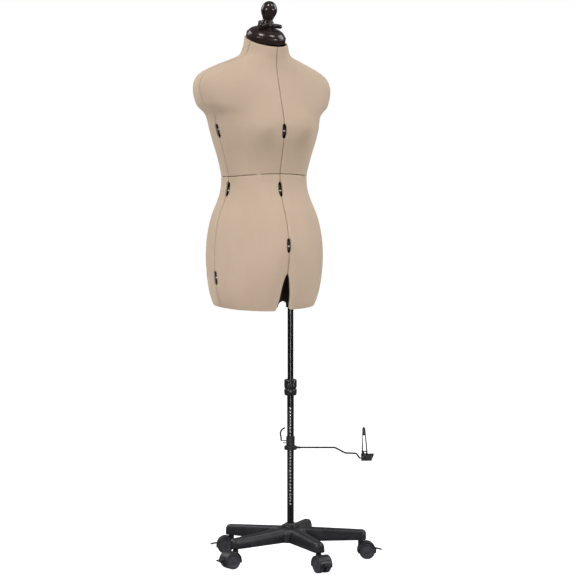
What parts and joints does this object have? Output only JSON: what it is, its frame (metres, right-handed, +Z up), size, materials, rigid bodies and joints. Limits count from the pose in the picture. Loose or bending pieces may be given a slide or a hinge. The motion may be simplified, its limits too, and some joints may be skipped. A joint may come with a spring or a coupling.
{
  "type": "adjustable dress form",
  "caption": "Adjustable beige jersey dress form torso in split panels on a telescopic pole with a wheeled star base and a hem marker.",
  "frame": {"origin": "on the floor, under the middle of the whole object's box", "axes": "+Z up, the form faces -Y, its own left side is +X"},
  "size_m": [0.5253, 0.5112, 1.6836],
  "materials": {
    "base_plastic": "charcoal moulded nylon, fine grain",
    "caster_plastic": "dark moulded plastic",
    "wheel_plastic": "dark grey moulded plastic",
    "black_paint": "black gloss powder coat",
    "black_plastic": "black satin plastic",
    "zinc_steel": "zinc-plated steel",
    "marker_metal": "black painted wire and sheet",
    "brown_gloss": "very dark brown high gloss",
    "brown_plastic": "dark brown satin plastic",
    "jersey": "beige foam-backed jersey"
  },
  "bodies": {
    "base": {"star_base": "base_plastic", "hub_collar": "black_plastic", "lower_tube": "black_paint", "pole_collar": "black_plastic", "caster_1_stem": "zinc_steel", "caster_2_stem": "zinc_steel", "caster_3_stem": "zinc_steel", "caster_4_stem": "zinc_steel", "caster_5_stem": "zinc_steel"},
    "caster_1_swivel": {"caster_1_hood": "caster_plastic"},
    "caster_1_wheel_pair": {"caster_1_wheels": "wheel_plastic"},
    "caster_1_brake": {"caster_1_brake_tab": "caster_plastic"},
    "caster_2_swivel": {"caster_2_hood": "caster_plastic"},
    "caster_2_wheel_pair": {"caster_2_wheels": "wheel_plastic"},
    "caster_2_brake": {"caster_2_brake_tab": "caster_plastic"},
    "caster_3_swivel": {"caster_3_hood": "caster_plastic"},
    "caster_3_wheel_pair": {"caster_3_wheels": "wheel_plastic"},
    "caster_3_brake": {"caster_3_brake_tab": "caster_plastic"},
    "caster_4_swivel": {"caster_4_hood": "caster_plastic"},
    "caster_4_wheel_pair": {"caster_4_wheels": "wheel_plastic"},
    "caster_4_brake": {"caster_4_brake_tab": "caster_plastic"},
    "caster_5_swivel": {"caster_5_hood": "caster_plastic"},
    "caster_5_wheel_pair": {"caster_5_wheels": "wheel_plastic"},
    "caster_5_brake": {"caster_5_brake_tab": "caster_plastic"},
    "lock_nut": {"height_lock_nut": "black_plastic"},
    "sliding_pole": {"upper_tube": "black_paint"},
    "marker_carrier": {"marker_sleeve": "marker_metal"},
    "marker_swing": {"marker_arm": "marker_metal", "marker_tray": "marker_metal"},
    "marker_lock": {"marker_lever": "marker_metal"},
    "marker_jaw": {"marker_clip": "marker_metal"},
    "torso": {"lower_frame": "brown_plastic"},
    "upper_torso": {"upper_frame": "brown_plastic", "neck_cap": "brown_gloss"},
    "lower_front_right": {"lower_front_right_panel": "jersey"},
    "lower_front_left": {"lower_front_left_panel": "jersey"},
    "lower_back_right": {"lower_back_right_panel": "jersey"},
    "lower_back_left": {"lower_back_left_panel": "jersey"},
    "upper_front_right": {"upper_front_right_panel": "jersey"},
    "upper_front_left": {"upper_front_left_panel": "jersey"},
    "upper_back_right": {"upper_back_right_panel": "jersey"},
    "upper_back_left": {"upper_back_left_panel": "jersey"},
    "bust_dial_front_wheel": {"bust_dial_front": "black_plastic"},
    "bust_dial_right_wheel": {"bust_dial_right": "black_plastic"},
    "bust_dial_back_wheel": {"bust_dial_back": "black_plastic"},
    "bust_dial_left_wheel": {"bust_dial_left": "black_plastic"},
    "waist_dial_front_wheel": {"waist_dial_front": "black_plastic"},
    "waist_dial_right_wheel": {"waist_dial_right": "black_plastic"},
    "waist_dial_back_wheel": {"waist_dial_back": "black_plastic"},
    "waist_dial_left_wheel": {"waist_dial_left": "black_plastic"},
    "hip_dial_front_wheel": {"hip_dial_front": "black_plastic"},
    "hip_dial_right_wheel": {"hip_dial_right": "black_plastic"},
    "hip_dial_back_wheel": {"hip_dial_back": "black_plastic"},
    "hip_dial_left_wheel": {"hip_dial_left": "black_plastic"},
    "neck_nut": {"neck_adjuster": "brown_gloss"},
    "finial": {"finial_knob": "brown_gloss"}
  },
  "joints": [
    {"name": "caster_1_turn", "type": "hinge", "parent": "base", "child": "caster_1_swivel", "pos_m": [0.20287, -0.08201, 0.06], "axis": [0, 0, 1], "continuous": true},
    {"name": "caster_1_roll", "type": "hinge", "parent": "caster_1_swivel", "child": "caster_1_wheel_pair", "pos_m": [0.21861, -0.09074, 0.0245], "axis": [0.4848, 0.8746, 0], "continuous": true},
    {"name": "caster_1_brake_press", "type": "hinge", "parent": "caster_1_swivel", "child": "caster_1_brake", "pos_m": [0.24432, -0.10499, 0.0305], "axis": [0.4848, 0.8746, 0], "range_deg": [0, 14]},
    {"name": "caster_2_turn", "type": "hinge", "parent": "base", "child": "caster_2_swivel", "pos_m": [0.17003, 0.16741, 0.06], "axis": [0, 0, 1], "continuous": true},
    {"name": "caster_2_roll", "type": "hinge", "parent": "caster_2_swivel", "child": "caster_2_wheel_pair", "pos_m": [0.18035, 0.18215, 0.0245], "axis": [-0.8192, 0.5736, 0], "continuous": true},
    {"name": "caster_2_brake_press", "type": "hinge", "parent": "caster_2_swivel", "child": "caster_2_brake", "pos_m": [0.19722, 0.20624, 0.0305], "axis": [-0.8192, 0.5736, 0], "range_deg": [0, 14]},
    {"name": "caster_3_turn", "type": "hinge", "parent": "base", "child": "caster_3_swivel", "pos_m": [-0.07733, 0.21325, 0.06], "axis": [0, 0, 1], "continuous": true},
    {"name": "caster_3_roll", "type": "hinge", "parent": "caster_3_swivel", "child": "caster_3_wheel_pair", "pos_m": [-0.09242, 0.22306, 0.0245], "axis": [-0.5446, -0.8387, 0], "continuous": true},
    {"name": "caster_3_brake_press", "type": "hinge", "parent": "caster_3_swivel", "child": "caster_3_brake", "pos_m": [-0.11708, 0.23907, 0.0305], "axis": [-0.5446, -0.8387, 0], "range_deg": [0, 14]},
    {"name": "caster_4_turn", "type": "hinge", "parent": "base", "child": "caster_4_swivel", "pos_m": [-0.19737, -0.00783, 0.06], "axis": [0, 0, 1], "continuous": true},
    {"name": "caster_4_roll", "type": "hinge", "parent": "caster_4_swivel", "child": "caster_4_wheel_pair", "pos_m": [-0.21536, -0.00846, 0.0245], "axis": [0.0349, -0.9994, 0], "continuous": true},
    {"name": "caster_4_brake_press", "type": "hinge", "parent": "caster_4_swivel", "child": "caster_4_brake", "pos_m": [-0.24474, -0.00949, 0.0305], "axis": [0.0349, -0.9994, 0], "range_deg": [0, 14]},
    {"name": "caster_5_turn", "type": "hinge", "parent": "base", "child": "caster_5_swivel", "pos_m": [-0.0242, -0.19032, 0.06], "axis": [0, 0, 1], "continuous": true},
    {"name": "caster_5_roll", "type": "hinge", "parent": "caster_5_swivel", "child": "caster_5_wheel_pair", "pos_m": [-0.02514, -0.20829, 0.0245], "axis": [0.9986, -0.0523, 0], "continuous": true},
    {"name": "caster_5_brake_press", "type": "hinge", "parent": "caster_5_swivel", "child": "caster_5_brake", "pos_m": [-0.02668, -0.23765, 0.0305], "axis": [0.9986, -0.0523, 0], "range_deg": [0, 14]},
    {"name": "height_lock_turn", "type": "hinge", "parent": "base", "child": "lock_nut", "pos_m": [0.0148, 0.0201, 0.534], "axis": [0, 0, 1], "range_deg": [0, 180]},
    {"name": "height_slide", "type": "slide", "parent": "base", "child": "sliding_pole", "axis": [0, 0, 1], "range_m": [-0.19, 0.15]},
    {"name": "marker_height", "type": "slide", "parent": "base", "child": "marker_carrier", "axis": [0, 0, 1], "range_m": [-0.2, 0.09]},
    {"name": "marker_turn", "type": "hinge", "parent": "marker_carrier", "child": "marker_swing", "pos_m": [0.0148, 0.0201, 0.3405], "axis": [0, 0, 1], "continuous": true},
    {"name": "marker_lever_flip", "type": "hinge", "parent": "marker_carrier", "child": "marker_lock", "pos_m": [-0.00768, 0.0347, 0.361], "axis": [-0.5446, -0.8387, 0], "range_deg": [0, 50]},
    {"name": "marker_clip_tilt", "type": "hinge", "parent": "marker_swing", "child": "marker_jaw", "pos_m": [0.20233, -0.10168, 0.3055], "axis": [0.8387, -0.5446, 0], "range_deg": [0, 20]},
    {"name": "torso_turn", "type": "hinge", "parent": "sliding_pole", "child": "torso", "pos_m": [0.0148, 0.0201, 0.9], "axis": [0, 0, 1], "continuous": true},
    {"name": "back_length", "type": "slide", "parent": "torso", "child": "upper_torso", "axis": [0, 0, 1], "range_m": [0, 0.04]},
    {"name": "lower_front_right_out", "type": "slide", "parent": "torso", "child": "lower_front_right", "axis": [-0.7071, -0.7071, 0], "range_m": [0, 0.02]},
    {"name": "lower_front_left_out", "type": "slide", "parent": "torso", "child": "lower_front_left", "axis": [0.7071, -0.7071, 0], "range_m": [0, 0.02]},
    {"name": "lower_back_right_out", "type": "slide", "parent": "torso", "child": "lower_back_right", "axis": [-0.7071, 0.7071, 0], "range_m": [0, 0.02]},
    {"name": "lower_back_left_out", "type": "slide", "parent": "torso", "child": "lower_back_left", "axis": [0.7071, 0.7071, 0], "range_m": [0, 0.02]},
    {"name": "upper_front_right_out", "type": "slide", "parent": "upper_torso", "child": "upper_front_right", "axis": [-0.7071, -0.7071, 0], "range_m": [0, 0.02]},
    {"name": "upper_front_left_out", "type": "slide", "parent": "upper_torso", "child": "upper_front_left", "axis": [0.7071, -0.7071, 0], "range_m": [0, 0.02]},
    {"name": "upper_back_right_out", "type": "slide", "parent": "upper_torso", "child": "upper_back_right", "axis": [-0.7071, 0.7071, 0], "range_m": [0, 0.02]},
    {"name": "upper_back_left_out", "type": "slide", "parent": "upper_torso", "child": "upper_back_left", "axis": [0.7071, 0.7071, 0], "range_m": [0, 0.02]},
    {"name": "bust_dial_front_turn", "type": "hinge", "parent": "upper_front_right", "child": "bust_dial_front_wheel", "pos_m": [-0.0257, 0.01235, 1.29326], "axis": [1, 0, 0], "range_deg": [0, 720]},
    {"name": "bust_dial_right_turn", "type": "hinge", "parent": "upper_front_right", "child": "bust_dial_right_wheel", "pos_m": [-0.17841, 0.08638, 1.29811], "axis": [0, 1, 0], "range_deg": [0, 720]},
    {"name": "bust_dial_back_turn", "type": "hinge", "parent": "upper_back_left", "child": "bust_dial_back_wheel", "pos_m": [-0.0257, 0.19576, 1.29548], "axis": [1, 0, 0], "range_deg": [0, 720]},
    {"name": "bust_dial_left_turn", "type": "hinge", "parent": "upper_back_left", "child": "bust_dial_left_wheel", "pos_m": [0.12701, 0.08638, 1.29811], "axis": [0, 1, 0], "range_deg": [0, 720]},
    {"name": "waist_dial_front_turn", "type": "hinge", "parent": "lower_front_right", "child": "waist_dial_front_wheel", "pos_m": [-0.0257, 0.03299, 1.11567], "axis": [1, 0, 0], "range_deg": [0, 720]},
    {"name": "waist_dial_right_turn", "type": "hinge", "parent": "lower_front_right", "child": "waist_dial_right_wheel", "pos_m": [-0.14305, 0.0866, 1.11599], "axis": [0, 1, 0], "range_deg": [0, 720]},
    {"name": "waist_dial_back_turn", "type": "hinge", "parent": "lower_back_left", "child": "waist_dial_back_wheel", "pos_m": [-0.0257, 0.17594, 1.11751], "axis": [1, 0, 0], "range_deg": [0, 720]},
    {"name": "waist_dial_left_turn", "type": "hinge", "parent": "lower_back_left", "child": "waist_dial_left_wheel", "pos_m": [0.09165, 0.0866, 1.11599], "axis": [0, 1, 0], "range_deg": [0, 720]},
    {"name": "hip_dial_front_turn", "type": "hinge", "parent": "lower_front_right", "child": "hip_dial_front_wheel", "pos_m": [-0.0257, -0.01391, 0.95078], "axis": [1, 0, 0], "range_deg": [0, 720]},
    {"name": "hip_dial_right_turn", "type": "hinge", "parent": "lower_front_right", "child": "hip_dial_right_wheel", "pos_m": [-0.18612, 0.0866, 0.85732], "axis": [0, 1, 0], "range_deg": [0, 720]},
    {"name": "hip_dial_back_turn", "type": "hinge", "parent": "lower_back_left", "child": "hip_dial_back_wheel", "pos_m": [-0.0257, 0.21015, 0.95194], "axis": [1, 0, 0], "range_deg": [0, 720]},
    {"name": "hip_dial_left_turn", "type": "hinge", "parent": "lower_back_left", "child": "hip_dial_left_wheel", "pos_m": [0.13472, 0.0866, 0.85732], "axis": [0, 1, 0], "range_deg": [0, 720]},
    {"name": "neck_adjuster_turn", "type": "hinge", "parent": "upper_torso", "child": "neck_nut", "pos_m": [-0.0257, 0.0999, 1.5661], "axis": [0, -0.2588, 0.9659], "range_deg": [0, 340]},
    {"name": "finial_unscrew", "type": "hinge", "parent": "neck_nut", "child": "finial", "pos_m": [-0.0257, 0.0999, 1.5661], "axis": [0, -0.2588, 0.9659], "continuous": true}
  ],
  "couplings": [
    {"joint": "lower_front_left_out", "follows": "lower_front_right_out", "ratio": 1},
    {"joint": "lower_back_right_out", "follows": "lower_front_right_out", "ratio": 1},
    {"joint": "lower_back_left_out", "follows": "lower_front_right_out", "ratio": 1},
    {"joint": "upper_front_left_out", "follows": "upper_front_right_out", "ratio": 1},
    {"joint": "upper_back_right_out", "follows": "upper_front_right_out", "ratio": 1},
    {"joint": "upper_back_left_out", "follows": "upper_front_right_out", "ratio": 1},
    {"joint": "bust_dial_front_turn", "follows": "upper_front_right_out", "rad_per_m": 628.32},
    {"joint": "bust_dial_right_turn", "follows": "upper_front_right_out", "rad_per_m": 628.32},
    {"joint": "bust_dial_back_turn", "follows": "upper_front_right_out", "rad_per_m": 628.32},
    {"joint": "bust_dial_left_turn", "follows": "upper_front_right_out", "rad_per_m": 628.32},
    {"joint": "waist_dial_front_turn", "follows": "lower_front_right_out", "rad_per_m": 628.32},
    {"joint": "waist_dial_right_turn", "follows": "lower_front_right_out", "rad_per_m": 628.32},
    {"joint": "waist_dial_back_turn", "follows": "lower_front_right_out", "rad_per_m": 628.32},
    {"joint": "waist_dial_left_turn", "follows": "lower_front_right_out", "rad_per_m": 628.32},
    {"joint": "hip_dial_front_turn", "follows": "lower_front_right_out", "rad_per_m": 628.32},
    {"joint": "hip_dial_right_turn", "follows": "lower_front_right_out", "rad_per_m": 628.32},
    {"joint": "hip_dial_back_turn", "follows": "lower_front_right_out", "rad_per_m": 628.32},
    {"joint": "hip_dial_left_turn", "follows": "lower_front_right_out", "rad_per_m": 628.32}
  ]
}
